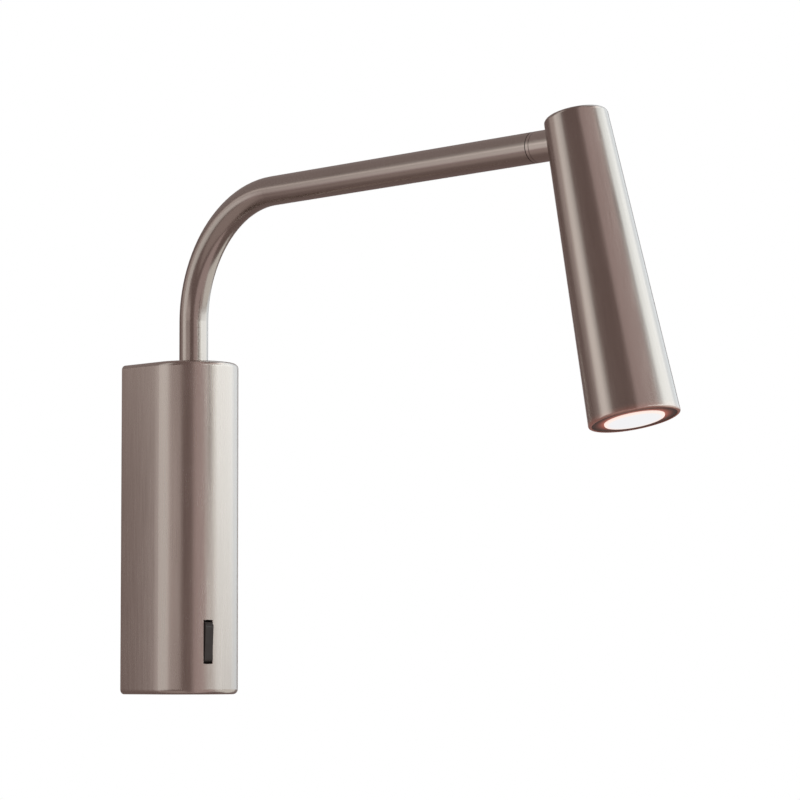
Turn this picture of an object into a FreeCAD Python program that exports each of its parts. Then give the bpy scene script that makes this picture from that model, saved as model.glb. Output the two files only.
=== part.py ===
import FreeCAD, Part
import math
import os

# Bedside wall reading lamp: a D-shaped wall body with a rocker switch, a bent arm that swivels
# in the body's top, and a conical LED head that rolls about the arm and tilts on a hidden hinge.
# Millimetres and degrees. The wall is the plane y = 0, the lamp stands out along -Y, +Z is up,
# and the origin is the middle of the body's back face.

# ---- clearances ----
running_gap = 0.05        # radial gap of a shaft turning in its bore, and axial play of a bearing face
free_gap = 0.3            # gap between surfaces that pass each other without bearing
part_gap = 1.0            # room left between neighbouring pieces inside the body
stop_margin = 0.8         # degrees that a stop stands beyond the end of its joint's travel

# ---- small screws ----
screw_slot_width = 0.6
screw_slot_depth = 0.8
small_screw_radius = 1.0
small_head_radius = 1.8
small_head_height = 1.4

# ---- wall body ----
body_height = 160.0
body_width = 43.6         # the front is a half round of this diameter
body_depth = 50.2
shell_wall = 2.0
shell_top_wall = 5.0
shell_edge_radius = 2.4

# ---- wall plate ----
plate_thickness = 2.0
wall_hole_spacing = 110.0
wall_slot_width = 4.5
wall_slot_length = 9.0
cable_entry_radius = 4.5
cable_entry_gap = 2.5     # between the grommet's lip and the driver's ear
grommet_wall = 1.5
grommet_flange = 1.5
fixing_screw_radius = 1.5
fixing_head_radius = 2.75
fixing_head_height = 1.8
shell_screw_spacing = 20.0
shell_screw_radius = 1.5
shell_screw_length = 5.5
shell_screw_head_radius = 2.8
shell_screw_socket_radius = 1.05

# ---- arm ----
tube_radius = 7.0
tube_wall = 1.0
bend_radius = 58.0
arm_rise = 78.6           # from the top of the body to the arm's axis
arm_reach = 257.6         # from the axis of the upright tube to the axis of the head
tube_below_collar = 2.0   # length of the tube's lower end under the stop collar
tube_grommet_sleeve = 5.0
lead_radius = 1.75

# ---- swivel in the body's top ----
swivel_range = 90.0       # each way from straight out of the wall
bush_length = 30.0
bush_wall = 3.0
bush_flange_width = 5.0
bush_flange_thickness = 4.0
bush_screw_radius = 1.25
bush_screw_head_height = 1.8
bush_screw_floor = 1.25   # metal of the shell's top left over the screws' blind holes
load_ring_thickness = 1.2
load_ring_width = 2.5
load_ring_groove = 0.5
load_ring_mouth = 8.4
spring_washer_thickness = 1.0
stop_lug_thickness = 1.7
stop_collar_height = 8.0
stop_pin_radius = 1.2
grub_screw_radius = 1.5
grub_screw_recess = 0.5
grub_socket_radius = 0.75
grub_socket_depth = 1.5

# ---- roll bearing at the seam ----
roll_range = 160.0        # each way from the head hanging down
seam_washer_thickness = 0.4
seam_washer_recess = 0.35
seam_ring_length = 1.8
seam_ring_chamfer = 0.15
collar_bearing_wall = 2.0 # of the collar, round the spigot
spigot_grip = 16.0        # length of the spigot held in the arm tube
spigot_bearing = 7.0      # length of the collar's own bearing bore
roll_clip_thickness = 1.0
roll_clip_groove = 0.6
roll_clip_mouth = 3.0
roll_clip_wall_gap = 0.15
spigot_land = 0.8         # length of the spigot beyond its circlip
spigot_nose_length = 2.7  # holds the roll stop's pin
spigot_nose_step = 1.0
collar_wall = 1.2
roll_pin_radius = 0.7
knuckle_plug_length = 4.0
knuckle_shoulder = 1.2
lead_slot_length = 2.0     # the lead's way out beyond the knuckle's shoulder

# ---- tilt hinge ----
lean_shown = 13.1         # the head's lower end leans this far away from the wall
roll_shown = 0.8          # and this far toward +X
tilt_inward = 30.0
tilt_outward = 45.0
knuckle_clearance = 7.5   # from the hinge axis to the knuckle's round shoulder
tongue_thickness = 6.0
tongue_radius = 5.4
hinge_washer_thickness = 0.5
hinge_washer_inset = 0.4
cheek_thickness = 3.6
cheek_radius = 6.2
hinge_screw_radius = 1.5
hinge_head_radius = 2.75
hinge_head_height = 2.0

# ---- head ----
head_length = 137.1
head_top_radius = 14.0
head_end_radius = 19.85
head_above_axis = 11.4    # from the arm's axis up to the head's flat top
head_wall = 1.6
head_top_wall = 3.0
head_top_fillet = 1.8
head_rim_fillet = 0.8
rim_wall = 1.4

# ---- lamp parts in the head ----
fork_plate_drop = 14.0    # from the hinge axis down to the fork's plate
fork_plate_thickness = 3.0
fork_plate_gap = 0.8      # between the plate's edge and the head's inside
fork_post_radius = 2.2
fork_post_angle = 40.0    # of the two posts, forward of the hinge axis
fork_post_gap = 0.5
fork_screw_floor = 0.9    # metal of the head's top left over the screws' blind holes
tie_rod_radius = 4.0
tie_rod_wall = 1.6
tie_rod_gap = 24.0        # between the fork's plate and the heat sink
tie_rod_engagement = 6.0
sink_stem_radius = 6.5
sink_base_thickness = 5.0
sink_fin_thickness = 1.5
sink_fin_pitch = 6.0
board_thickness = 1.6
board_radius = 12.0
board_screw_circle = 9.2
chip_radius = 3.5
chip_height = 1.2
chip_dome_base = 2.8
chip_dome_top = 1.75
reflector_height = 16.5
reflector_wall = 0.8
reflector_throat_gap = 1.2
lens_flange = 2.0         # thickness of the lens flange
lens_proud = 0.5          # how far the lit disc stands out of the rim
lens_edge_fillet = 0.5
bezel_width = 5.45        # of the dark ring that shows round the lit disc
bezel_thickness = 1.2
bezel_recess = 0.3
bezel_sleeve = 5.7        # length of the bezel inside the rim
bezel_wall = 1.05

# ---- rocker switch ----
switch_height = 25.0      # middle of the switch above the body's lower end
switch_angle = 20.3       # round the front, toward -X
slot_width = 4.4
slot_length = 20.5
slot_edge_break = 0.3
rocker_gap = 0.25
rocker_pivot_depth = 3.5
rocker_tilt = 6.0         # each way from square to the body
rocker_proud = 1.2
rocker_crown = 0.15       # how far the face's middle stands out between its ends
rocker_crest_inset = 1.6  # from the rocker's end to the end of its face
rocker_crest_fillet = 1.8
rocker_shoulder_depth = 0.9
rocker_tail_depth = 2.2
rocker_end_taper = 0.25
rocker_back_depth = 2.6   # behind the pivot
rocker_back_height = 9.0
switch_body_depth = 13.0
switch_body_wall = 2.5
switch_pin_radius = 0.8
switch_well_depth = 3.5   # behind the pivot
switch_well_gap = 0.5
switch_tab_thickness = 0.8
switch_tab_width = 4.8
switch_tab_length = 5.0

# ---- driver and wiring in the body ----
driver_width = 28.0
driver_height = 60.0
driver_middle_z = 8.0
driver_ear = 6.0
driver_ear_thickness = 2.0
driver_ear_width = 14.0
driver_case_fillet = 1.5
terminal_width = 26.0
terminal_height = 11.0
terminal_depth = 14.0
terminal_spacing = 8.0
terminal_hole_radius = 1.6
terminal_screw_length = 5.1
terminal_screw_recess = 0.5
lead_bend_radius = 6.0

# ---- places worked out from the sizes above ----
front_radius = body_width / 2
axis_out = body_depth - front_radius
body_top = body_height / 2
body_bottom = -body_height / 2
inner_radius = front_radius - shell_wall
inner_top = body_top - shell_top_wall
inner_bottom = body_bottom + shell_wall
arm_z = body_top + arm_rise
tube_bore = tube_radius - tube_wall
bush_radius = tube_radius + bush_wall
bush_flange_radius = bush_radius + bush_flange_width
bush_screw_head_radius = bush_flange_width / 2 - free_gap
stop_collar_radius = bush_radius + free_gap + stop_lug_thickness
bush_bottom = inner_top - bush_length
washer_bottom = bush_bottom - running_gap - spring_washer_thickness
collar_bottom = washer_bottom - stop_collar_height
tube_bottom = collar_bottom - tube_below_collar
ring_floor = inner_top - load_ring_thickness - part_gap
plug_start = arm_reach - knuckle_clearance - knuckle_shoulder - knuckle_plug_length
spigot_nose = plug_start - free_gap
spigot_radius = tube_radius - collar_bearing_wall
clip_end = spigot_nose - spigot_nose_length - spigot_land
clip_face = clip_end - roll_clip_thickness - running_gap
collar_start = clip_face - spigot_bearing
ring_start = collar_start - seam_ring_length
seam_reach = ring_start - running_gap - seam_washer_thickness
cavity_radius = tube_radius - collar_wall
head_bottom = head_above_axis - head_length
rim_bore = head_end_radius - rim_wall
lens_radius = rim_bore - bezel_width
lens_flange_radius = rim_bore - bezel_wall - part_gap
fork_plate_bottom = -fork_plate_drop - fork_plate_thickness
sink_top = fork_plate_bottom - tie_rod_gap
bezel_face = head_bottom + bezel_recess
lens_floor = bezel_face + bezel_thickness
reflector_rim = lens_floor + lens_flange
board_face = reflector_rim + reflector_height
sink_face = board_face + board_thickness
lean_inward = lean_shown - tilt_inward
lean_outward = lean_shown + tilt_outward
driver_depth = axis_out - stop_collar_radius - plate_thickness - part_gap
driver_low = driver_middle_z - driver_height / 2
driver_high = driver_middle_z + driver_height / 2
grommet_lip = cable_entry_radius + grommet_wall + grommet_flange
cable_entry_z = driver_low - driver_ear - cable_entry_gap - grommet_lip

ORIGIN = FreeCAD.Vector(0, 0, 0)
X_AXIS = FreeCAD.Vector(1, 0, 0)
Y_AXIS = FreeCAD.Vector(0, 1, 0)
Z_AXIS = FreeCAD.Vector(0, 0, 1)
beyond = 50.0             # how far a cutting tool runs past what it cuts
past = 1.0                # the same, where another piece of the shape is near


def point(x, y, z):
    return FreeCAD.Vector(x, y, z)


def block(x0, x1, y0, y1, z0, z1):
    return Part.makeBox(x1 - x0, y1 - y0, z1 - z0, point(x0, y0, z0))


def upright(radius, z0, z1, x=0.0, y=0.0):
    """A cylinder along Z."""
    return Part.makeCylinder(radius, z1 - z0, point(x, y, z0))


def crosswise(radius, x0, x1, y=0.0, z=0.0):
    """A cylinder along X."""
    return Part.makeCylinder(radius, x1 - x0, point(x0, y, z), X_AXIS)


def outward(radius, y0, y1, x=0.0, z=0.0):
    """A cylinder along Y, from y0 out to the smaller y1."""
    return Part.makeCylinder(radius, y0 - y1, point(x, y0, z), Y_AXIS * -1)


def ring(outer, inner, z0, z1, x=0.0, y=0.0):
    return upright(outer, z0, z1, x, y).cut(upright(inner, z0 - beyond, z1 + beyond, x, y))


def sector(outer, inner, z0, z1, half_angle, facing):
    """A piece of a ring about the Z axis, facing the given angle from +X."""
    wedge = Part.makeCylinder(outer, z1 - z0, point(0, 0, z0), Z_AXIS, 2 * half_angle)
    wedge.rotate(ORIGIN, Z_AXIS, facing - half_angle)
    return wedge.cut(upright(inner, z0 - beyond, z1 + beyond))


def prism(points, x0, x1):
    """A flat outline of (y, z) points, drawn out along X."""
    wire = Part.makePolygon([point(x0, y, z) for y, z in points + points[:1]])
    return Part.Face(wire).extrude(point(x1 - x0, 0, 0))


def join(shapes):
    return shapes[0].multiFuse(shapes[1:]).removeSplitter()


def save(name, solids):
    """Writes one node: a solid, or a group of separate alike solids."""
    shape = Part.makeCompound(solids) if isinstance(solids, list) else solids
    parts = shape.Solids
    kept = parts[0] if len(parts) == 1 else Part.makeCompound(parts)
    kept.exportStep("parts/" + name + ".step")
    valid = all(part.isValid() for part in parts)
    print(f"{name:22s} solids {len(parts)}  volume {kept.Volume:10.1f}  valid {valid}")


def on_tube_axis(shape):
    """Moves a piece made about the Z axis onto the axis of the upright tube."""
    shape.translate(point(0, -axis_out, 0))
    return shape


def on_arm_axis(shape):
    """Moves a piece made about Z, with z as the distance along the arm, onto the arm's axis."""
    shape.rotate(ORIGIN, X_AXIS, 90)
    shape.translate(point(0, -axis_out, arm_z))
    return shape


def at_hinge(shape):
    """Moves a piece made about the hinge, square to the arm, to the shown roll of the head."""
    shape.rotate(ORIGIN, Y_AXIS, -roll_shown)
    shape.translate(point(0, -axis_out - arm_reach, arm_z))
    return shape


def in_head(shape):
    """Moves a piece made about the head's upright axis to the head's shown lean and roll."""
    shape.rotate(ORIGIN, X_AXIS, -lean_shown)
    return at_hinge(shape)


def at_switch(shape):
    """Moves a piece made at the front of the body's round to the switch's place."""
    shape.rotate(ORIGIN, Z_AXIS, -switch_angle)
    shape.translate(point(0, -axis_out, body_bottom + switch_height))
    return shape


# ---- wall body ----
def d_prism(inset, back, z0, z1):
    """The body's plan, set in all round: straight sides and a half-round front."""
    half = front_radius - inset
    corners = [point(-half, back, z0), point(-half, -axis_out, z0)]
    corners += [point(half, -axis_out, z0), point(half, back, z0)]
    front = Part.Arc(corners[1], point(0, -axis_out - half, z0), corners[2]).toShape()
    sides = [Part.makeLine(corners[0], corners[1]), front, Part.makeLine(corners[2], corners[3])]
    sides.append(Part.makeLine(corners[3], corners[0]))
    return Part.Face(Part.Wire(sides)).extrude(point(0, 0, z1 - z0))


def shell_screw_places():
    tab = plate_tab_depth()
    return [(side * shell_screw_spacing / 2, -plate_thickness - tab / 2) for side in (-1, 1)]


def plate_tab_depth():
    """The folded tabs end short of the swivel bush."""
    return axis_out - bush_flange_radius - plate_thickness - part_gap


def bush_screw_places():
    """Two screws beside the tube, midway between the bush's barrel and its flange's edge."""
    circle = (bush_radius + bush_flange_radius) / 2
    return [(side * circle, -axis_out) for side in (-1, 1)]


def switch_slot():
    half = slot_width / 2
    cut = block(-half, half, -front_radius - beyond, -inner_radius + shell_wall, -slot_length / 2,
                slot_length / 2)
    mouth = half + slot_edge_break
    length = slot_length / 2 + slot_edge_break
    face = front_radius - slot_edge_break
    wide = Part.makePolygon([point(x * mouth, -front_radius, z * length)
                             for x, z in ((-1, -1), (1, -1), (1, 1), (-1, 1), (-1, -1))])
    narrow = Part.makePolygon([point(x * half, -face, z * slot_length / 2)
                               for x, z in ((-1, -1), (1, -1), (1, 1), (-1, 1), (-1, -1))])
    return at_switch(cut.fuse(Part.makeLoft([wide, narrow], True)))


def body_shell():
    outer = d_prism(0, 0, body_bottom, body_top)
    rims = [edge for edge in outer.Edges
            if edge.BoundBox.ZLength < 1e-6 and edge.BoundBox.YMin < -shell_wall]
    shell = outer.makeFillet(shell_edge_radius, rims)
    shell = shell.cut(d_prism(shell_wall, beyond, inner_bottom, inner_top))
    shell = shell.cut(on_tube_axis(upright(tube_radius + free_gap, 0, body_top + beyond)))
    blind = body_top - bush_screw_floor
    for x, y in bush_screw_places():
        shell = shell.cut(upright(bush_screw_radius, inner_top - beyond, blind, x, y))
    sink = shell_screw_head_radius - shell_screw_radius
    for x, y in shell_screw_places():
        shell = shell.cut(upright(shell_screw_radius, body_bottom - past, inner_bottom + past, x, y))
        seat = Part.makeCone(shell_screw_head_radius, shell_screw_radius, sink, point(x, y, body_bottom))
        shell = shell.cut(seat)
    return shell.cut(switch_slot())


def shell_screws():
    """Two countersunk screws, up through the shell's lower end into the plate's tab."""
    sink = shell_screw_head_radius - shell_screw_radius
    screws = []
    for x, y in shell_screw_places():
        head = Part.makeCone(shell_screw_head_radius, shell_screw_radius, sink, point(x, y, body_bottom))
        shank = upright(shell_screw_radius, body_bottom, body_bottom + shell_screw_length, x, y)
        socket = upright(shell_screw_socket_radius, body_bottom - past, body_bottom + sink, x, y)
        screws.append(head.fuse(shank).removeSplitter().cut(socket))
    return screws


def wall_plate():
    """The steel plate fixed to the wall, with a tab folded out at each end."""
    half = inner_radius - free_gap
    tab = -plate_thickness - plate_tab_depth()
    flat = block(-half, half, -plate_thickness, 0, inner_bottom, inner_top)
    low_tab = block(-half, half, tab, 0, inner_bottom, inner_bottom + plate_thickness)
    high_tab = block(-half, half, tab, 0, inner_top - plate_thickness, inner_top)
    plate = join([flat, low_tab, high_tab])
    for z in (-wall_hole_spacing / 2, wall_hole_spacing / 2):
        straight = (wall_slot_length - wall_slot_width) / 2
        radius = wall_slot_width / 2
        plate = plate.cut(block(-radius, radius, -beyond, beyond, z - straight, z + straight))
        plate = plate.cut(outward(radius, past, -plate_thickness - past, 0, z - straight))
        plate = plate.cut(outward(radius, past, -plate_thickness - past, 0, z + straight))
    grommet_hole = cable_entry_radius + grommet_wall
    plate = plate.cut(outward(grommet_hole, past, -plate_thickness - past, 0, cable_entry_z))
    for x, y in shell_screw_places():
        plate = plate.cut(upright(shell_screw_radius, inner_bottom - past,
                                  inner_bottom + plate_thickness + past, x, y))
    for x, z in driver_screw_places() + [earth_screw_place()]:
        plate = plate.cut(outward(fixing_screw_radius, past, -plate_thickness - past, x, z))
    return plate


# ---- cable entry, driver and terminals on the plate ----

def cable_grommet():
    hole = cable_entry_radius + grommet_wall
    sleeve = outward(hole, 0, -plate_thickness, 0, cable_entry_z)
    lip = outward(grommet_lip, -plate_thickness, -plate_thickness - grommet_flange, 0,
                  cable_entry_z)
    bore = outward(cable_entry_radius, past, -plate_thickness - grommet_flange - past, 0, cable_entry_z)
    return sleeve.fuse(lip).removeSplitter().cut(bore)


def driver_screw_places():
    return [(0, driver_low - driver_ear / 2), (0, driver_high + driver_ear / 2)]


def earth_screw_place():
    return inner_radius - free_gap - 2 * fixing_head_radius, driver_high + driver_ear


def plate_screw(x, z, seat):
    """A pan-head screw in the plate, its head on a face at the given y."""
    head = outward(fixing_head_radius, seat, seat - fixing_head_height, x, z)
    shank = outward(fixing_screw_radius, 0, seat, x, z)
    slot = block(x - beyond, x + beyond, seat - beyond, seat - fixing_head_height + screw_slot_depth,
                 z - screw_slot_width / 2, z + screw_slot_width / 2)
    return head.fuse(shank).removeSplitter().cut(slot)


def driver_screws():
    return [plate_screw(x, z, -plate_thickness - driver_ear_thickness)
            for x, z in driver_screw_places()]


def led_driver():
    front = -plate_thickness - driver_depth
    case = block(-driver_width / 2, driver_width / 2, front, -plate_thickness, driver_low, driver_high)
    front_edges = [edge for edge in case.Edges if edge.CenterOfMass.y < front + driver_case_fillet]
    case = case.makeFillet(driver_case_fillet, front_edges)
    ears = block(-driver_ear_width / 2, driver_ear_width / 2, -plate_thickness - driver_ear_thickness,
                 -plate_thickness, driver_low - driver_ear, driver_high + driver_ear)
    driver = case.fuse(ears).removeSplitter()
    for x, z in driver_screw_places():
        driver = driver.cut(outward(fixing_screw_radius, 0, front, x, z))
    return driver


def terminal_places():
    return [step * terminal_spacing for step in (-1, 0, 1)]


def terminal_band():
    """The terminal block stands on the plate, just above the tips of the shell screws."""
    low = body_bottom + shell_screw_length + part_gap
    return low, low + terminal_height


def terminal_block():
    low, high = terminal_band()
    front = -plate_thickness - terminal_depth
    case = block(-terminal_width / 2, terminal_width / 2, front, -plate_thickness, low, high)
    for x in terminal_places():
        case = case.cut(upright(terminal_hole_radius, low - past, high + past, x,
                                -plate_thickness - terminal_depth / 2))
        case = case.cut(outward(grub_screw_radius, -plate_thickness - terminal_depth / 2, front - past, x,
                                (low + high) / 2))
    return case


def terminal_screws():
    low, high = terminal_band()
    front = -plate_thickness - terminal_depth
    middle = (low + high) / 2
    screws = []
    for x in terminal_places():
        face = front + terminal_screw_recess
        screw = outward(grub_screw_radius, face + terminal_screw_length, face, x, middle)
        slot = block(x - terminal_spacing / 2, x + terminal_spacing / 2, front, face + screw_slot_depth,
                     middle - screw_slot_width / 2, middle + screw_slot_width / 2)
        screws.append(screw.cut(slot))
    return screws


def driver_lead():
    """The low-voltage lead, from the driver's front round and up to the mouth of the arm tube."""
    start = -plate_thickness - driver_depth
    top = tube_bottom - grommet_flange - part_gap
    bend = min(lead_bend_radius, axis_out + start - part_gap)
    level = min(driver_high, top - bend) - part_gap - lead_radius
    turn = point(0, -axis_out + bend, level)
    straight = outward(lead_radius, start, turn.y, 0, level)
    disc = Part.Face(Part.Wire(Part.makeCircle(lead_radius, turn, Y_AXIS)))
    corner = disc.revolve(turn + point(0, 0, bend), X_AXIS, -90)
    rise = upright(lead_radius, level + bend, top, 0, -axis_out)
    return join([straight, corner, rise])


# ---- swivel: the arm tube turns in a bush under the body's top ----
def load_ring_outer():
    return tube_radius - load_ring_groove + load_ring_width


def swivel_bush():
    flange = upright(bush_flange_radius, inner_top - bush_flange_thickness, inner_top)
    barrel = upright(bush_radius, bush_bottom, inner_top)
    bush = join([flange, barrel])
    bush = bush.cut(upright(tube_radius + running_gap, bush_bottom - past, inner_top + past))
    bush = bush.cut(upright(load_ring_outer() + free_gap, ring_floor - running_gap, inner_top + past))
    pin = crosswise(stop_pin_radius, tube_radius, bush_radius + beyond)
    bush = bush.cut(stop_pin_place(pin))
    bush = on_tube_axis(bush)
    for x, y in bush_screw_places():
        bush = bush.cut(upright(bush_screw_radius, bush_bottom, inner_top + past, x, y))
    return bush


def bush_screws():
    """Two screws up through the bush's flange into the thick top of the shell."""
    seat = inner_top - bush_flange_thickness
    screws = []
    for x, y in bush_screw_places():
        face = seat - bush_screw_head_height
        head = upright(bush_screw_head_radius, face, seat, x, y)
        shank = upright(bush_screw_radius, seat, body_top - bush_screw_floor, x, y)
        slot = block(x - bush_flange_width, x + bush_flange_width, y - screw_slot_width / 2,
                     y + screw_slot_width / 2, face - past, face + screw_slot_depth)
        screws.append(head.fuse(shank).removeSplitter().cut(slot))
    return screws


def stop_pin_place(shape):
    """The stop pin stands out of the bush toward the wall, just above the bush's lower end."""
    shape.rotate(ORIGIN, Z_AXIS, 90)
    shape.translate(point(0, 0, bush_bottom + 2 * stop_pin_radius))
    return shape


def stop_pin():
    start = tube_radius + running_gap + free_gap
    pin = crosswise(stop_pin_radius, start, stop_collar_radius)
    return on_tube_axis(stop_pin_place(pin))


def bent_rod(radius, low, reach):
    """A round rod on the arm's centre line: up, through the bend and out to a reach."""
    bend_z = arm_rise + body_top - bend_radius
    upright_run = upright(radius, low, bend_z, 0, -axis_out)
    disc = Part.Face(Part.Wire(Part.makeCircle(radius, point(0, -axis_out, bend_z), Z_AXIS)))
    corner = disc.revolve(point(0, -axis_out - bend_radius, bend_z), X_AXIS, 90)
    level_run = outward(radius, -axis_out - bend_radius, -axis_out - reach, 0, arm_z)
    return join([upright_run, corner, level_run])


def arm_tube():
    tube = bent_rod(tube_radius, tube_bottom, seam_reach)
    tube = tube.cut(bent_rod(tube_bore, tube_bottom - past, seam_reach + past))
    groove = ring(tube_radius + past, tube_radius - load_ring_groove, ring_floor,
                  ring_floor + load_ring_thickness)
    return tube.cut(on_tube_axis(groove))


def load_ring():
    """The open snap ring in the tube's groove that carries the arm on the bush."""
    clip = ring(load_ring_outer(), tube_radius - load_ring_groove, ring_floor,
                ring_floor + load_ring_thickness)
    mouth = block(-beyond, 0, -load_ring_mouth / 2, load_ring_mouth / 2, 0, body_top)
    mouth.rotate(ORIGIN, Z_AXIS, -90)
    return on_tube_axis(clip.cut(mouth))


def spring_washer():
    return on_tube_axis(ring(bush_radius, tube_radius + running_gap, washer_bottom,
                             washer_bottom + spring_washer_thickness))


def stop_lug():
    """The raised half ring on the stop collar, opposite the pin when the arm points straight out."""
    inner = bush_radius + free_gap
    pin_angle = math.degrees(math.asin(stop_pin_radius / inner))
    half_angle = 180 - swivel_range - pin_angle - stop_margin
    top = bush_bottom + 3 * stop_pin_radius
    return sector(stop_collar_radius, inner, collar_top() - past, top, half_angle, -90)


def collar_top():
    return collar_bottom + stop_collar_height


def stop_collar():
    body = join([upright(stop_collar_radius, collar_bottom, collar_top()), stop_lug()])
    body = body.cut(upright(tube_radius, collar_bottom - past, collar_top() + beyond))
    level = collar_bottom + stop_collar_height / 2
    return on_tube_axis(body.cut(crosswise(grub_screw_radius, 0, beyond, 0, level)))


def collar_grub_screw():
    level = collar_bottom + stop_collar_height / 2
    face = stop_collar_radius - grub_screw_recess
    screw = crosswise(grub_screw_radius, tube_radius, face, 0, level)
    screw = screw.cut(crosswise(grub_socket_radius, face - grub_socket_depth, beyond, 0, level))
    screw = screw.cut(upright(tube_radius, collar_bottom, collar_top()))
    return on_tube_axis(screw)


def tube_grommet():
    sleeve = upright(tube_bore, tube_bottom, tube_bottom + tube_grommet_sleeve)
    lip = upright(tube_radius, tube_bottom - grommet_flange, tube_bottom)
    bore = upright(lead_radius, tube_bottom - beyond, body_top)
    return on_tube_axis(sleeve.fuse(lip).removeSplitter().cut(bore))


def arm_lead():
    return bent_rod(lead_radius, tube_bottom - grommet_flange, plug_start - free_gap)


# ---- roll bearing at the seam, between the arm tube and the collar ----
def roll_spigot():
    spigot = [upright(tube_bore, seam_reach - spigot_grip, seam_reach),
              upright(spigot_radius, seam_reach - past, clip_end + spigot_land),
              upright(spigot_radius - spigot_nose_step, seam_reach, spigot_nose)]
    spigot = join(spigot).cut(upright(lead_radius + free_gap, 0, arm_reach))
    clip_floor = spigot_radius - roll_clip_groove
    groove = ring(spigot_radius + past, clip_floor, clip_face + running_gap, clip_end)
    return on_arm_axis(spigot.cut(groove).cut(roll_pin_shape()))


def roll_pin_shape():
    """A radial pin low in the spigot's nose."""
    middle = spigot_nose - spigot_nose_length / 2
    start = lead_radius + free_gap
    pin = Part.makeCylinder(roll_pin_radius, cavity_radius - free_gap - start,
                            point(0, start, middle), Y_AXIS)
    return pin


def roll_stop_pin():
    return on_arm_axis(roll_pin_shape())


def roll_clip():
    """The circlip that keeps the collar on the spigot."""
    start = clip_face + running_gap
    clip = ring(cavity_radius - roll_clip_wall_gap, spigot_radius - roll_clip_groove, start, clip_end)
    mouth = block(-roll_clip_mouth / 2, roll_clip_mouth / 2, 0, beyond, start - past, clip_end + past)
    return on_arm_axis(clip.cut(mouth))


def seam_washer():
    """The dark nylon washer, set back a little, that shows as the fine line of the seam."""
    return on_arm_axis(ring(tube_radius - seam_washer_recess, spigot_radius + running_gap,
                            seam_reach, seam_reach + seam_washer_thickness))


def seam_ring():
    shape = ring(tube_radius, spigot_radius + running_gap, ring_start, collar_start)
    edge = [e for e in shape.Edges if abs(e.BoundBox.XLength - 2 * tube_radius) < 0.01
            and e.BoundBox.ZLength < 0.01 and abs(e.BoundBox.ZMin - collar_start) < 0.01]
    return on_arm_axis(shape.makeChamfer(seam_ring_chamfer, edge))


def head_collar():
    end = arm_reach - knuckle_clearance - knuckle_shoulder
    collar = upright(tube_radius, collar_start, end)
    collar = collar.cut(upright(spigot_radius + running_gap, collar_start - past, end))
    return on_arm_axis(collar.cut(upright(cavity_radius, clip_face, end + past)))


def knuckle():
    """The turned and flattened end of the arm: a plug in the collar, a shoulder and a tongue."""
    shoulder = arm_reach - knuckle_clearance - knuckle_shoulder
    plug = upright(cavity_radius, plug_start, shoulder)
    disc = upright(tube_radius, shoulder, shoulder + knuckle_shoulder)
    half = tongue_thickness / 2
    tongue = block(-half, half, -tongue_radius, tongue_radius, shoulder, arm_reach)
    eye = crosswise(tongue_radius, -half, half, 0, arm_reach)
    pin_angle = math.degrees(math.asin(roll_pin_radius / roll_dog_inner()))
    half_angle = 180 - roll_range - pin_angle - stop_margin
    dog_start = spigot_nose - spigot_nose_length + free_gap
    dog = sector(cavity_radius - running_gap, roll_dog_inner(), dog_start, plug_start + past, half_angle,
                 -90)
    piece = join([plug, disc, tongue, eye, dog])
    piece = piece.cut(crosswise(hinge_screw_radius, -beyond, beyond, 0, arm_reach))
    lead_way = lead_radius + free_gap
    piece = piece.cut(upright(lead_way, plug_start - past, shoulder + knuckle_shoulder))
    slot = block(-lead_way, lead_way, 0, tube_radius + past, shoulder - past,
                 shoulder + knuckle_shoulder + lead_slot_length)
    return on_arm_axis_rolled(piece.cut(slot))


def roll_dog_inner():
    return spigot_radius - spigot_nose_step + free_gap


def on_arm_axis_rolled(shape):
    """Like on_arm_axis, turned with the shown roll of the head."""
    shape = on_arm_axis(shape)
    shape.rotate(point(0, 0, arm_z), Y_AXIS, -roll_shown)
    return shape


# ---- head: everything about the hinge, with +Z up the head and +Y toward the wall ----
def cone_radius(z, inset=0.0):
    """Radius of the head's outside, set in, at a height from the hinge."""
    down = (head_above_axis - z) / head_length
    return head_top_radius + (head_end_radius - head_top_radius) * down - inset


def cone(z0, z1, inset=0.0):
    return Part.makeCone(cone_radius(z0, inset), cone_radius(z1, inset), z1 - z0, point(0, 0, z0))


def circle_edges(shape, z, radius):
    return [edge for edge in shape.Edges
            if abs(edge.BoundBox.ZMin - z) < 1e-3 and abs(edge.BoundBox.ZMax - z) < 1e-3
            and abs(edge.BoundBox.XLength - 2 * radius) < 1e-2]


def hinge_slot():
    """The fan swept by the collar between the two ends of the tilt, cut through rear and top."""
    half = tube_radius + free_gap
    reach = head_end_radius + head_above_axis + beyond
    low = math.radians(lean_inward)
    high = math.radians(lean_outward)
    under = (half * math.sin(low), -half * math.cos(low))
    over = (-half * math.sin(high), half * math.cos(high))
    outline = [under, (under[0] + reach * math.cos(low), under[1] + reach * math.sin(low)),
               (over[0] + reach * math.cos(high), over[1] + reach * math.sin(high)), over]
    return prism(outline, -half, half)


def head_shell():
    top = head_above_axis
    shell = cone(head_bottom, top)
    shell = shell.makeFillet(head_top_fillet, circle_edges(shell, top, cone_radius(top)))
    rim = circle_edges(shell, head_bottom, head_end_radius)
    shell = shell.makeFillet(head_rim_fillet, rim)
    shell = shell.cut(cone(head_bottom - past, top - head_top_wall, head_wall))
    shell = shell.cut(upright(rim_bore, head_bottom - past, bezel_face + bezel_sleeve))
    for x, y in fork_post_places():
        blind = top - fork_screw_floor
        shell = shell.cut(upright(small_screw_radius, 0, blind, x, y))
    return in_head(shell.cut(hinge_slot()))


def fork_post_places():
    circle = cone_radius(head_above_axis - head_top_wall, head_wall) - fork_post_radius - fork_post_gap
    angle = math.radians(fork_post_angle)
    return [(side * circle * math.cos(angle), -circle * math.sin(angle)) for side in (-1, 1)]


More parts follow.
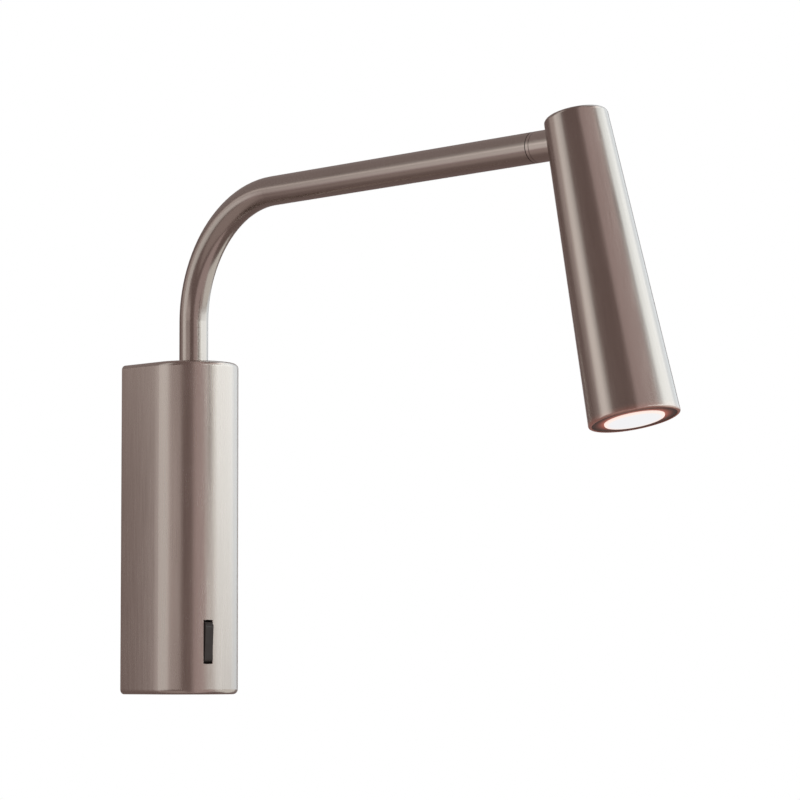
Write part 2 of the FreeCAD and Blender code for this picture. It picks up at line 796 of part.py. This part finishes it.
def cheek_inner():
    return tongue_thickness / 2 + hinge_washer_thickness + 2 * running_gap


def cheek_rear():
    """The cheeks' rear face below the eye clears the knuckle's shoulder at the inward limit."""
    inward = math.radians(-lean_inward)
    chord = math.sqrt(tube_radius ** 2 - cheek_inner() ** 2)
    face = (knuckle_clearance - free_gap - chord * math.tan(inward)) * math.cos(inward)
    return min(cheek_radius, face)


def hinge_fork():
    plate_radius = cone_radius(-fork_plate_drop, head_wall + fork_plate_gap)
    plate = upright(plate_radius, fork_plate_bottom, -fork_plate_drop)
    pieces = [plate]
    inner = cheek_inner()
    for side in (-1, 1):
        x0, x1 = sorted((side * inner, side * (inner + cheek_thickness)))
        eye = crosswise(cheek_radius, x0, x1)
        leg = block(x0, x1, -cheek_radius, cheek_rear(), -fork_plate_drop, 0)
        pieces += [eye, leg]
    for x, y in fork_post_places():
        pieces.append(upright(fork_post_radius, -fork_plate_drop, head_above_axis - head_top_wall, x, y))
    fork = join(pieces)
    gap = block(-inner, inner, -beyond, beyond, -fork_plate_drop, beyond)
    fork = fork.cut(gap).cut(crosswise(hinge_screw_radius, -beyond, beyond))
    fork = fork.cut(upright(tie_rod_radius, fork_plate_bottom - past, -fork_plate_drop + past))
    for x, y in fork_post_places():
        fork = fork.cut(upright(small_screw_radius, fork_plate_bottom - past, head_above_axis, x, y))
    return in_head(fork)


def hinge_screw():
    """The hinge's pin: a screw across the fork, with its nut on the other side."""
    face = cheek_inner() + cheek_thickness
    head = crosswise(hinge_head_radius, face, face + hinge_head_height)
    shank = crosswise(hinge_screw_radius, -face - hinge_head_height, face)
    slot = block(face + hinge_head_height - screw_slot_depth, beyond, -screw_slot_width / 2,
                 screw_slot_width / 2, -beyond, beyond)
    return in_head(head.fuse(shank).removeSplitter().cut(slot))


def hinge_nut():
    face = cheek_inner() + cheek_thickness
    corners = [(hinge_head_radius * math.cos(math.radians(60 * k)),
                hinge_head_radius * math.sin(math.radians(60 * k))) for k in range(6)]
    nut = prism(corners, -face - hinge_head_height, -face)
    return in_head(nut.cut(crosswise(hinge_screw_radius, -beyond, 0)))


def hinge_washers():
    """A spring washer each side of the tongue, which holds the head where it is set."""
    washers = []
    for side in (-1, 1):
        face = side * cheek_inner()
        x0, x1 = sorted((face, face - side * hinge_washer_thickness))
        washer = crosswise(tongue_radius - hinge_washer_inset, x0, x1)
        washers.append(in_head(washer.cut(crosswise(hinge_screw_radius + running_gap, -beyond, beyond))))
    return washers


def slotted(shank, seat, x, y):
    """Gives a small upright screw its slotted head, below the face that it seats on."""
    face = seat - small_head_height
    head = upright(small_head_radius, face, seat, x, y)
    slot = block(x - beyond, x + beyond, y - screw_slot_width / 2, y + screw_slot_width / 2, face - past,
                 face + screw_slot_depth)
    return head.fuse(shank).removeSplitter().cut(slot)


def fork_screws():
    screws = []
    for x, y in fork_post_places():
        shank = upright(small_screw_radius, fork_plate_bottom, head_above_axis - fork_screw_floor, x, y)
        screws.append(in_head(slotted(shank, fork_plate_bottom, x, y)))
    return screws


def tie_rod():
    """The hollow threaded rod that hangs the heat sink from the fork and carries the lead."""
    return in_head(ring(tie_rod_radius, tie_rod_radius - tie_rod_wall, sink_top - tie_rod_engagement,
                        -fork_plate_drop))


def heat_sink():
    base = cone(sink_face, sink_face + sink_base_thickness, head_wall)
    stem = upright(sink_stem_radius, sink_face, sink_top)
    pieces = [base, stem]
    count = int((sink_top - sink_face - sink_base_thickness) / sink_fin_pitch)
    for step in range(count):
        z = sink_face + sink_base_thickness + sink_fin_pitch * (step + past) - sink_fin_thickness
        pieces.append(cone(z, z + sink_fin_thickness, head_wall + free_gap))
    sink = join(pieces)
    sink = sink.cut(upright(tie_rod_radius - tie_rod_wall, sink_face - past, sink_top + past))
    sink = sink.cut(upright(tie_rod_radius, sink_top - tie_rod_engagement, sink_top + past))
    for x in (-board_screw_circle, board_screw_circle):
        sink = sink.cut(upright(small_screw_radius, sink_face - past, sink_face + sink_base_thickness, x, 0))
    return in_head(sink)


def led_board():
    board = upright(board_radius, board_face, sink_face)
    for x in (-board_screw_circle, board_screw_circle):
        board = board.cut(upright(small_screw_radius, board_face - past, sink_face + past, x, 0))
    return in_head(board)


def led_chip():
    base = upright(chip_radius, board_face - chip_height / 2, board_face)
    dome = Part.makeCone(chip_dome_base, chip_dome_top, chip_height / 2,
                         point(0, 0, board_face - chip_height / 2), Z_AXIS * -1)
    return in_head(base.fuse(dome).removeSplitter())


def board_screws():
    screws = []
    for x in (-board_screw_circle, board_screw_circle):
        shank = upright(small_screw_radius, board_face, sink_face + sink_base_thickness, x, 0)
        screws.append(in_head(slotted(shank, board_face, x, 0)))
    return screws


def reflector():
    """The cone that gathers the LED's light, its rim clamped behind the lens."""
    throat = chip_radius + reflector_throat_gap
    mouth = lens_radius
    outer = Part.makeCone(mouth + reflector_wall, throat + reflector_wall, reflector_height,
                          point(0, 0, reflector_rim))
    flange = upright(lens_flange_radius, reflector_rim, reflector_rim + reflector_wall)
    inner = Part.makeCone(mouth, throat, reflector_height, point(0, 0, reflector_rim))
    return in_head(outer.fuse(flange).removeSplitter().cut(inner))


def lens():
    """The frosted disc: a flange behind the bezel and a lit face just proud of the rim."""
    flange = upright(lens_flange_radius, lens_floor, lens_floor + lens_flange)
    front = head_bottom - lens_proud
    disc = upright(lens_radius, front, lens_floor)
    disc = disc.makeFillet(lens_edge_fillet, circle_edges(disc, front, lens_radius))
    return in_head(disc.fuse(flange).removeSplitter())


def bezel_ring():
    """The dark ring round the lens, pressed into the head's mouth."""
    outer = upright(rim_bore, bezel_face, bezel_face + bezel_sleeve)
    outer = outer.cut(upright(rim_bore - bezel_wall, lens_floor, beyond))
    return in_head(outer.cut(upright(lens_radius + running_gap, bezel_face - past, lens_floor + past)))


def head_lead():
    """The lead's last stretch, down through the rod and the heat sink to the LED board."""
    return in_head(upright(lead_radius, sink_face, -fork_plate_drop - fork_plate_thickness / 2))


# ---- rocker switch: made as if at the body's front, then turned to its place ----
def rocker():
    """A slightly crowned paddle: one end stands proud while the other is pressed in to the shell."""
    pivot = -(front_radius - rocker_pivot_depth)
    face = -(front_radius + rocker_proud)
    half = slot_length / 2 - rocker_gap
    crest = half - rocker_crest_inset
    shoulder = -(front_radius - rocker_shoulder_depth)
    tail = -(front_radius - rocker_tail_depth)
    back = pivot + rocker_back_depth
    end = half - rocker_end_taper
    side = [(face, crest), (shoulder, end), (tail, end), (back, rocker_back_height / 2)]
    outline = side + [(y, -z) for y, z in reversed(side)] + [(face - rocker_crown, 0)]
    width = slot_width / 2 - rocker_gap
    shape = prism(outline, -width, width)
    crests = [edge for edge in shape.Edges
              if edge.BoundBox.XLength > width and abs(abs(edge.CenterOfMass.z) - crest) < 0.01]
    shape = shape.makeFillet(rocker_crest_fillet, crests)
    shape = shape.cut(crosswise(switch_pin_radius + running_gap, -beyond, beyond, pivot, 0))
    shape.rotate(point(0, pivot, 0), X_AXIS, rocker_tilt)
    return at_switch(shape)


def switch_pin():
    pivot = -(front_radius - rocker_pivot_depth)
    half = slot_width / 2 + switch_body_wall
    return at_switch(crosswise(switch_pin_radius, -half, half, pivot, 0))


def switch_body():
    """The switch behind the slot, its front shaped to the inside of the shell."""
    half = slot_width / 2 + switch_body_wall
    tall = slot_length / 2 + switch_body_wall
    case = block(-half, half, -front_radius, -inner_radius + switch_body_depth, -tall, tall)
    case = case.common(upright(inner_radius, -tall - past, tall + past))
    well = -(front_radius - rocker_pivot_depth - switch_well_depth)
    case = case.cut(block(-slot_width / 2, slot_width / 2, -front_radius, well,
                          -slot_length / 2 - switch_well_gap, slot_length / 2 + switch_well_gap))
    pivot = -(front_radius - rocker_pivot_depth)
    return at_switch(case.cut(crosswise(switch_pin_radius, -beyond, beyond, pivot, 0)))


def switch_terminals():
    """Two flat tabs on the back of the switch."""
    back = -inner_radius + switch_body_depth
    half = switch_tab_thickness / 2
    return [at_switch(block(-half, half, back, back + switch_tab_length, z - switch_tab_width / 2,
                            z + switch_tab_width / 2))
            for z in (-slot_length / 4, slot_length / 4)]


os.makedirs("parts", exist_ok=True)

save("wall_plate", wall_plate())
save("cable_grommet", cable_grommet())
save("body_shell", body_shell())
save("shell_screws", shell_screws())
save("led_driver", led_driver())
save("driver_screws", driver_screws())
save("earth_screw", plate_screw(*earth_screw_place(), -plate_thickness))
save("terminal_block", terminal_block())
save("terminal_screws", terminal_screws())
save("driver_lead", driver_lead())
save("switch_body", switch_body())
save("switch_terminals", switch_terminals())
save("switch_pin", switch_pin())
save("switch_rocker", rocker())
save("swivel_bush", swivel_bush())
save("bush_screws", bush_screws())
save("stop_pin", stop_pin())
save("arm_tube", arm_tube())
save("load_ring", load_ring())
save("spring_washer", spring_washer())
save("stop_collar", stop_collar())
save("collar_grub_screw", collar_grub_screw())
save("tube_grommet", tube_grommet())
save("arm_lead", arm_lead())
save("roll_spigot", roll_spigot())
save("roll_stop_pin", roll_stop_pin())
save("roll_clip", roll_clip())
save("seam_washer", seam_washer())
save("seam_ring", seam_ring())
save("head_collar", head_collar())
save("knuckle", knuckle())
save("head_shell", head_shell())
save("hinge_fork", hinge_fork())
save("hinge_screw", hinge_screw())
save("hinge_nut", hinge_nut())
save("hinge_washers", hinge_washers())
save("fork_screws", fork_screws())
save("tie_rod", tie_rod())
save("heat_sink", heat_sink())
save("led_board", led_board())
save("led_chip", led_chip())
save("board_screws", board_screws())
save("reflector", reflector())
save("lens", lens())
save("bezel_ring", bezel_ring())
save("head_lead", head_lead())
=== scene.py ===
import bpy
import math
from mathutils import Matrix, Vector


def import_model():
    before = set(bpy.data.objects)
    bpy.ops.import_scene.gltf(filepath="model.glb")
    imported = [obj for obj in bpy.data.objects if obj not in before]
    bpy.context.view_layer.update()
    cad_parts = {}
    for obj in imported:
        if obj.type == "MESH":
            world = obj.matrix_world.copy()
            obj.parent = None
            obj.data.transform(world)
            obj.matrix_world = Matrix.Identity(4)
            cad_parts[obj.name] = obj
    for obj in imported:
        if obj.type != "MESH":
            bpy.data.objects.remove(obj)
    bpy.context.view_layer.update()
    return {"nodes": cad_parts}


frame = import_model()
nodes = frame["nodes"]
print("frame:", len(nodes), "pieces of the lamp loaded")


class Wire:  # a socket of a node, with the sums that the finishes use
    def __init__(self, paint, socket):
        self.paint = paint
        self.socket = socket

    def sum(self, operation, first, second):
        return self.paint.node("ShaderNodeMath", {"operation": operation}, {0: first, 1: second})

    def __add__(self, other):
        return self.sum("ADD", self, other)

    def __sub__(self, other):
        return self.sum("SUBTRACT", self, other)

    def __rsub__(self, other):
        return self.sum("SUBTRACT", other, self)

    def __mul__(self, other):
        return self.sum("MULTIPLY", self, other)

    def __truediv__(self, other):
        return self.sum("DIVIDE", self, other)

    def __rtruediv__(self, other):
        return self.sum("DIVIDE", other, self)

    __radd__ = __add__
    __rmul__ = __mul__


class Paint:  # one node tree, of a material or of the world
    def __init__(self, tree):
        self.tree = tree
        self.tree.nodes.clear()

    def node(self, kind, settings, inputs, output=0):
        made = self.tree.nodes.new(kind)
        for key, value in settings.items():
            setattr(made, key, value)
        for key, value in inputs.items():
            if isinstance(value, Wire):
                self.tree.links.new(value.socket, made.inputs[key])
            else:
                made.inputs[key].default_value = value
        return Wire(self, made.outputs[output]) if output is not None else None

    def mix(self, factor, first, second, blend="MIX"):  # colours
        return self.node("ShaderNodeMix", {"data_type": "RGBA", "blend_type": blend},
                         {0: factor, 6: first, 7: second}, 2)

    def slope(self, value, low, high, start=0.0, end=1.0, shape="LINEAR"):  # flat past low and high
        return self.node("ShaderNodeMapRange", {"interpolation_type": shape},
                         {"Value": value, "From Min": low, "From Max": high, "To Min": start,
                          "To Max": end})

    def axis(self, vector, index):  # 0, 1, 2 for x, y, z
        return self.node("ShaderNodeSeparateXYZ", {}, {0: vector}, index)

    def unsigned(self, value):
        return self.node("ShaderNodeMath", {"operation": "ABSOLUTE"}, {0: value})

    def length(self, vector):
        return self.node("ShaderNodeVectorMath", {"operation": "LENGTH"}, {0: vector}, "Value")


def newMaterial(name):
    material = bpy.data.materials.new(name)
    material.use_nodes = True
    return material, Paint(material.node_tree)


def rgba(colour):
    return (*colour, 1.0)


def scaled(colour, factor):
    return rgba([channel * factor for channel in colour])


def output(paint, shader):
    paint.node("ShaderNodeOutputMaterial", {}, {"Surface": shader}, None)


def principled(paint, inputs):
    output(paint, paint.node("ShaderNodeBsdfPrincipled", {}, inputs))


def bump(paint, height, strength, distance):
    return paint.node("ShaderNodeBump", {},
                      {"Strength": strength, "Distance": distance, "Height": height})


def pieceSpace(paint, origin=(0, 0, 0), turn=(0, 0, 0)):  # metres, turned into a piece's own axes
    where = paint.node("ShaderNodeTexCoord", {}, {}, "Object")
    return paint.node("ShaderNodeMapping", {"vector_type": "TEXTURE"},
                      {"Vector": where, "Location": origin, "Rotation": turn})


def noise(paint, where, size, detail=2.0):  # size of its features along the three axes, in metres
    scale = tuple(1 / part for part in size)
    spread = paint.node("ShaderNodeMapping", {"vector_type": "POINT"}, {"Vector": where, "Scale": scale})
    return paint.node("ShaderNodeTexNoise", {}, {"Vector": spread, "Scale": 1.0, "Detail": detail})


def dress(material, *names):  # gives the finish to pieces of the frame
    for name in names:
        mesh = nodes[name].data
        mesh.materials.clear()
        mesh.materials.append(material)


camera = {
    "place": (-0.99977, -1.21652, -0.06888),
    "azimuth": -43.785,      # degrees from straight in front
    "elevation": -4.836,
    "roll": -0.128,
    "lens": 143.97,
    "sensor": 36.0,
}


def makeCamera():
    turn, lift, roll = (math.radians(camera[key]) for key in ("azimuth", "elevation", "roll"))
    level = math.cos(lift)
    back = Vector((math.sin(turn) * level, -math.cos(turn) * level, math.sin(lift)))
    right = Vector((math.cos(turn), math.sin(turn), 0))
    up = back.cross(right)
    across = right * math.cos(roll) + up * math.sin(roll)
    upward = up * math.cos(roll) - right * math.sin(roll)
    data = bpy.data.cameras.new("camera")
    data.lens = camera["lens"]
    data.sensor_width = camera["sensor"]
    eye = bpy.data.objects.new("camera", data)
    axes = Matrix((across, upward, back)).transposed().to_4x4()
    eye.matrix_world = Matrix.Translation(camera["place"]) @ axes
    bpy.context.scene.collection.objects.link(eye)
    bpy.context.scene.camera = eye


makeCamera()
print("camera placed")

nickel = {  # lengths in metres, as everywhere
    "colour": (0.48, 0.425, 0.39),
    "tone": {"body": 1.08, "arm": 0.96, "collar": 1.05, "head": 1.0},  # paler shell than tube
    "roughness": {"body": 0.26, "arm": 0.22, "collar": 0.22, "head": 0.23},
    "streaks": {"body": 1.0, "arm": 0.5, "collar": 0.5, "head": 1.0},  # how plain the brushing is
    "along": {"body": 2, "arm": 1, "collar": 1, "head": 2},            # the axis that it follows
    "streakWidth": 0.0011,
    "streakLength": 0.030,
    "grain": 0.00035,
    "grainStretch": 12,        # how much longer the grain is along the brushing
    "cloud": 0.035,
    "streakTone": 0.16,
    "grainTone": 0.10,
    "cloudTone": 0.06,
    "toneSpan": 0.15,          # each way, from the darkest to the palest
    "darkest": 0.88,
    "palest": 1.10,
    "streakGloss": 0.10,
    "cloudGloss": 0.05,
    "relief": 0.000005,        # height of the brushing
}
body = {
    "crown": 5.0,              # degrees that the flat sides turn away at the wall
    "sideDepth": 0.0284,       # of the flat sides, from the wall to the round front
    "blendWidth": 0.0035,      # each way, of the soft start of the round
    "blendRise": 0.00014,
}
collar = {
    "joint": -0.26145,         # of the seam ring and the collar, a fine dark line
    "jointWidth": 0.0002,
    "jointColour": (0.10, 0.08, 0.075),
}
head = {
    "hinge": (0, -0.286, 0.1586),
    "lean": 13.1,              # degrees, outward at the lit end
    "roll": 0.8,               # degrees, sideways
    "end": -0.1257,            # of the rim, along the head's axis from the hinge
    "rimGlow": (0.10, 0.024, 0.015),  # painted glow: the disc's light on the rim, given as emission on the metal
    "rimGlowHeight": 0.0035,
}


def headSpace(paint):
    turn = (-math.radians(head["lean"]), -math.radians(head["roll"]), 0)
    return pieceSpace(paint, head["hinge"], turn)


# painted glow: emission on the head's metal near the rim, standing in for the disc's light falling there
def rimGlow(paint, where):
    rise = paint.axis(where, 2)
    near = paint.slope(rise, head["end"], head["end"] + head["rimGlowHeight"], 1.0, 0.0)
    return paint.mix(near * near, rgba((0, 0, 0)), rgba(head["rimGlow"]))


def sideCrown(paint, where):  # height of the very slight crown of the body's sides
    depth, width = body["sideDepth"], body["blendWidth"]
    out = paint.axis(where, 1)
    inward = paint.slope(out, -depth, 0.0)
    start = paint.slope(out, -depth - width, width - depth, 0.0, body["blendRise"], "SMOOTHSTEP")
    return inward * inward * (-0.5 * depth * math.tan(math.radians(body["crown"]))) + start


def jointLine(paint, where):  # 1 on the line
    away = paint.unsigned(paint.axis(where, 1) - collar["joint"])
    return paint.slope(away, collar["jointWidth"] / 2, collar["jointWidth"], 1.0, 0.0)


def satinNickel(name, piece):
    material, paint = newMaterial(name)
    tint = [channel * nickel["tone"][piece] for channel in nickel["colour"]]
    where = headSpace(paint) if piece == "head" else pieceSpace(paint)
    along, plainness = nickel["along"][piece], nickel["streaks"][piece]
    streakSize = [nickel["streakWidth"]] * 3
    streakSize[along] = nickel["streakLength"]
    grainSize = [nickel["grain"]] * 3
    grainSize[along] = nickel["grain"] * nickel["grainStretch"]
    streaks = noise(paint, where, streakSize, 3.0)
    fine = noise(paint, where, grainSize)
    cloud = noise(paint, where, [nickel["cloud"]] * 3)
    tone = ((streaks - 0.5) * (nickel["streakTone"] * plainness) + (fine - 0.5) * nickel["grainTone"]
            + (cloud - 0.5) * nickel["cloudTone"])
    light = paint.slope(tone, -nickel["toneSpan"], nickel["toneSpan"])
    colour = paint.mix(light, scaled(tint, nickel["darkest"]), scaled(tint, nickel["palest"]))
    gloss = ((streaks - 0.5) * (nickel["streakGloss"] * plainness)
             + (cloud - 0.5) * nickel["cloudGloss"] + nickel["roughness"][piece])
    height = fine * nickel["relief"]
    glow = rgba((0, 0, 0))
    if piece == "body":
        height = height + sideCrown(paint, where)
    if piece == "collar":
        colour = paint.mix(jointLine(paint, where), colour, rgba(collar["jointColour"]))
    # the head's rim gets a painted glow of the disc's light
    if piece == "head":
        glow = rimGlow(paint, where)
    principled(paint, {"Base Color": colour, "Metallic": 1.0, "Roughness": gloss,
                       "Normal": bump(paint, height, 1.0, 1.0), "Emission Color": glow,
                       "Emission Strength": 1.0})
    return material


dress(satinNickel("satinNickelBody", "body"), "body_shell")
dress(satinNickel("satinNickelArm", "arm"), "arm_tube")
dress(satinNickel("satinNickelCollar", "collar"), "seam_ring", "head_collar", "knuckle")
dress(satinNickel("satinNickelHead", "head"), "head_shell")
print("satin nickel on body, arm, collar and head")

finishes = {  # grain is the size of the mottle
    "blackPlastic": {"colour": (0.035, 0.030, 0.028), "roughness": 0.38, "metallic": 0.0,
                     "grain": 0.0004, "on": ("switch_rocker", "switch_body")},
    "zincPlate": {"colour": (0.62, 0.62, 0.63), "roughness": 0.35, "metallic": 1.0, "grain": 0.003,
                  "on": ("wall_plate",)},
    "screwSteel": {"colour": (0.55, 0.54, 0.53), "roughness": 0.30, "metallic": 1.0, "grain": 0.0005,
                   "on": ("shell_screws", "driver_screws", "earth_screw", "bush_screws", "stop_pin",
                          "load_ring", "spring_washer", "collar_grub_screw", "roll_stop_pin",
                          "roll_clip", "hinge_screw", "hinge_nut", "hinge_washers", "fork_screws",
                          "tie_rod", "board_screws", "switch_pin")},
    "machinedBrass": {"colour": (0.70, 0.52, 0.25), "roughness": 0.32, "metallic": 1.0,
                      "grain": 0.0006, "on": ("terminal_screws", "switch_terminals", "roll_spigot",
                                              "swivel_bush", "stop_collar")},
    "castZinc": {"colour": (0.50, 0.50, 0.50), "roughness": 0.5, "metallic": 1.0, "grain": 0.0008,
                 "on": ("hinge_fork",)},
    "bareAluminium": {"colour": (0.72, 0.72, 0.73), "roughness": 0.38, "metallic": 1.0,
                      "grain": 0.001, "on": ("heat_sink",)},
    "darkNylon": {"colour": (0.05, 0.045, 0.042), "roughness": 0.55, "metallic": 0.0,
                  "grain": 0.0005, "on": ("seam_washer",)},
    "whitePlastic": {"colour": (0.80, 0.80, 0.77), "roughness": 0.45, "metallic": 0.0,
                     "grain": 0.0008, "on": ("led_driver", "terminal_block")},
    "greyRubber": {"colour": (0.12, 0.12, 0.12), "roughness": 0.7, "metallic": 0.0, "grain": 0.0005,
                   "on": ("cable_grommet", "tube_grommet")},
    "leadJacket": {"colour": (0.60, 0.59, 0.57), "roughness": 0.5, "metallic": 0.0, "grain": 0.0006,
                   "on": ("driver_lead", "arm_lead", "head_lead")},
    "boardWhite": {"colour": (0.82, 0.82, 0.80), "roughness": 0.4, "metallic": 0.0, "grain": 0.0006,
                   "on": ("led_board",)},
    "ledPhosphor": {"colour": (0.85, 0.68, 0.15), "roughness": 0.3, "metallic": 0.0, "grain": 0.0004,
                    "on": ("led_chip",)},
    "brightReflector": {"colour": (0.86, 0.86, 0.87), "roughness": 0.12, "metallic": 1.0,
                        "grain": 0.002, "on": ("reflector",)},
}
mottle = {
    "cloudStretch": 20,        # how much larger the clouds are than the grain
    "spread": 0.15,            # of the colour, each way
    "gloss": 0.15,             # how far the roughness wanders
    "strength": 0.12,
    "height": 0.0001,
}


def shades(paint, factor, colour, spread):
    return paint.mix(factor, scaled(colour, 1 - spread), scaled(colour, 1 + spread))


def plainFinish(name, finish):
    material, paint = newMaterial(name)
    where = pieceSpace(paint)
    fine = noise(paint, where, [finish["grain"]] * 3)
    cloud = noise(paint, where, [finish["grain"] * mottle["cloudStretch"]] * 3)
    principled(paint, {"Base Color": shades(paint, (fine + cloud) * 0.5, finish["colour"],
                                            mottle["spread"]),
                       "Metallic": finish["metallic"],
                       "Roughness": (cloud - 0.5) * mottle["gloss"] + finish["roughness"],
                       "Normal": bump(paint, fine, mottle["strength"], mottle["height"])})
    return material


for finishName, finish in finishes.items():
    dress(plainFinish(finishName, finish), *finish["on"])
print("finishes:", len(finishes))

lens = {  # the lit disc
    "radius": 0.013,
    "glass": (0.30, 0.30, 0.30),
    "spread": 0.1,
    "centre": (0.69, 0.70, 0.72),    # light of the disc's middle
    "rim": (0.84, 0.68, 0.61),       # and of its edge
    "rimFrom": 0.0102,               # the edge's light starts and is full here
    "rimFull": 0.0124,
    "frost": 0.0006,
    "roughness": 0.3,
}
bezel = {  # the dark ring round it
    "colour": (0.085, 0.055, 0.048),
    "spread": 0.15,
    "roughness": 0.6,
    "shine": 0.25,
    "glow": (0.38, 0.105, 0.075),    # painted glow: the disc's light on the ring, given as emission
    "glowWidth": 0.005,
    "grain": 0.0004,
    "strength": 0.1,
    "height": 0.0001,
}


def headRadius(paint, where):  # distance from the head's axis
    flat = paint.node("ShaderNodeVectorMath", {"operation": "MULTIPLY"}, {0: where, 1: (1, 1, 0)})
    return paint.length(flat)


def litDisc():
    material, paint = newMaterial("litDiffuser")
    where = headSpace(paint)
    warmth = paint.slope(headRadius(paint, where), lens["rimFrom"], lens["rimFull"])
    light = paint.mix(warmth * warmth, rgba(lens["centre"]), rgba(lens["rim"]))
    frost = noise(paint, where, [lens["frost"]] * 3)
    principled(paint, {"Base Color": shades(paint, frost, lens["glass"], lens["spread"]),
                       "Roughness": lens["roughness"], "Emission Color": light,
                       "Emission Strength": 1.0})
    return material


def darkRing():
    material, paint = newMaterial("darkBezel")
    where = headSpace(paint)
    fine = noise(paint, where, [bezel["grain"]] * 3)
    # painted glow, strongest at the disc's edge and fading outward over glowWidth
    near = paint.slope(headRadius(paint, where), lens["radius"], lens["radius"] + bezel["glowWidth"],
                       1.0, 0.0)
    glow = paint.mix(near * near, rgba((0, 0, 0)), rgba(bezel["glow"]))
    principled(paint, {"Base Color": shades(paint, fine, bezel["colour"], bezel["spread"]),
                       "Roughness": bezel["roughness"], "Specular IOR Level": bezel["shine"],
                       "Normal": bump(paint, fine, bezel["strength"], bezel["height"]),
                       "Emission Color": glow, "Emission Strength": 1.0})
    return material


dress(litDisc(), "lens")
dress(darkRing(), "bezel_ring")
print("lit disc and dark ring")

studio = {
    "floorHeight": -0.6,
    "floorHalf": 40.0,
    "floorColour": (0.86, 0.855, 0.85),
    "floorFade": (0.5, 2.5),       # distance from the lamp over which the floor turns white
    "floorWhite": 0.7,             # how white it is under the lamp
    "tent": (0.22, 0.165, 0.155),  # the dim tent round the lamp
    "plain": (0.80, 0.79, 0.78),   # what matt surfaces get
    "edge": 8.0,                   # degrees over which a soft box fades
}
# degrees round the lamp from straight out of the wall, degrees up, and light
softBoxes = {
    "leftStrip": {"around": (-137, -107), "up": (-17, 49), "light": (0.58, 0.62, 0.61)},
    "leftLedge": {"around": (-163, -115), "up": (7, 13), "light": (0.57, 0.53, 0.51)},
    "leftFoot": {"around": (-140, -132), "up": (-27, 2), "light": (0.34, 0.28, 0.29)},
    "leftGlow": {"around": (-111, -71), "up": (0, 5), "light": (0.98, 0.93, 0.91)},
    "lowGlow": {"around": (-150, -60), "up": (-80, -25), "light": (0.20, 0.18, 0.17)},
    "highGlow": {"around": (140, 215), "up": (18, 75), "light": (0.11, 0.11, 0.11)},
    "frontVeil": {"around": (-40, 22), "up": (-88, 88), "light": (0.33, 0.28, 0.28)},
    "frontGlow": {"around": (-11, 25), "up": (11, 18), "light": (2.8, 3.3, 3.3)},
    "frontLow": {"around": (-5, 21), "up": (-3, 16), "light": (0.26, 0.37, 0.36)},
    "rightKey": {"around": (20, 80), "up": (0, 27), "light": (1.50, 1.72, 1.78)},
    "rightLow": {"around": (24, 101), "up": (-42, -3), "light": (0.72, 0.78, 0.75)},
    "rightHigh": {"around": (38, 83), "up": (26, 47), "light": (1.0, 1.2, 1.25)},
    "rightTop": {"around": (21, 71), "up": (38, 49), "light": (1.3, 1.2, 1.15)},
    "rightFar": {"around": (79, 113), "up": (-2, 84), "light": (1.0, 1.2, 1.3)},
    "backdrop": {"around": (126, 146), "up": (-5, 15), "light": (0.75, 0.8, 0.82)},  # behind the lamp
}


def floor():
    half = studio["floorHalf"]
    corners = [(-half, -half), (half, -half), (half, half), (-half, half)]
    mesh = bpy.data.meshes.new("floor")
    mesh.from_pydata([(x, y, studio["floorHeight"]) for x, y in corners], [], [(0, 1, 2, 3)])
    plane = bpy.data.objects.new("floor", mesh)
    plane.visible_glossy = False  # the metal sees the tent below it
    bpy.context.scene.collection.objects.link(plane)
    material, paint = newMaterial("paleFloor")
    seen = paint.node("ShaderNodeLightPath", {}, {}, "Is Camera Ray")
    whiteness = paint.slope(paint.length(pieceSpace(paint)), *studio["floorFade"],
                            studio["floorWhite"], 1.0)
    matt = paint.node("ShaderNodeBsdfDiffuse", {}, {"Color": rgba(studio["floorColour"])})
    glow = paint.node("ShaderNodeEmission", {}, {"Color": rgba((1, 1, 1))})
    output(paint, paint.node("ShaderNodeMixShader", {}, {0: seen * whiteness, 1: matt, 2: glow}))
    mesh.materials.append(material)


def band(paint, angle, middle, half):  # 1 inside a stretch of degrees, fading at its ends
    fade = (half - paint.unsigned(angle - middle)) / studio["edge"] + 0.5
    return paint.slope(fade, 0.0, 1.0, shape="SMOOTHSTEP")


def tentLight(paint):
    where = paint.node("ShaderNodeTexCoord", {}, {}, "Generated")
    axes = [paint.axis(where, index) for index in range(3)]
    up = paint.node("ShaderNodeMath", {"operation": "ARCSINE"}, {0: axes[2]}) * math.degrees(1)
    light = rgba(studio["tent"])
    for box in softBoxes.values():
        left, right = box["around"]
        low, high = box["up"]
        turn = math.radians((left + right) / 2)
        side = axes[0] * math.cos(turn) + axes[1] * math.sin(turn)
        ahead = axes[0] * math.sin(turn) - axes[1] * math.cos(turn)
        around = paint.node("ShaderNodeMath", {"operation": "ARCTAN2"}, {0: side, 1: ahead})
        inside = band(paint, around * math.degrees(1), 0.0, (right - left) / 2)
        inside = inside * band(paint, up, (low + high) / 2, (high - low) / 2)
        light = paint.mix(inside, light, rgba(box["light"]), "ADD")
    return light


def world():
    made = bpy.data.worlds.new("studio")
    made.use_nodes = True
    made.cycles.sampling_method = "NONE"  # keeps each kind of ray to its own light
    bpy.context.scene.world = made
    paint = Paint(made.node_tree)
    rays = {name: paint.node("ShaderNodeLightPath", {}, {}, f"Is {name} Ray")
            for name in ("Camera", "Transmission", "Diffuse")}
    light = paint.mix(rays["Diffuse"], tentLight(paint), rgba(studio["plain"]))
    light = paint.mix(rays["Camera"] + rays["Transmission"], light, rgba((1, 1, 1)))
    shader = paint.node("ShaderNodeBackground", {}, {"Color": light, "Strength": 1.0})
    paint.node("ShaderNodeOutputWorld", {}, {"Surface": shader}, None)


floor()
world()
bpy.context.scene.view_settings.view_transform = "Standard"
print("studio ready")
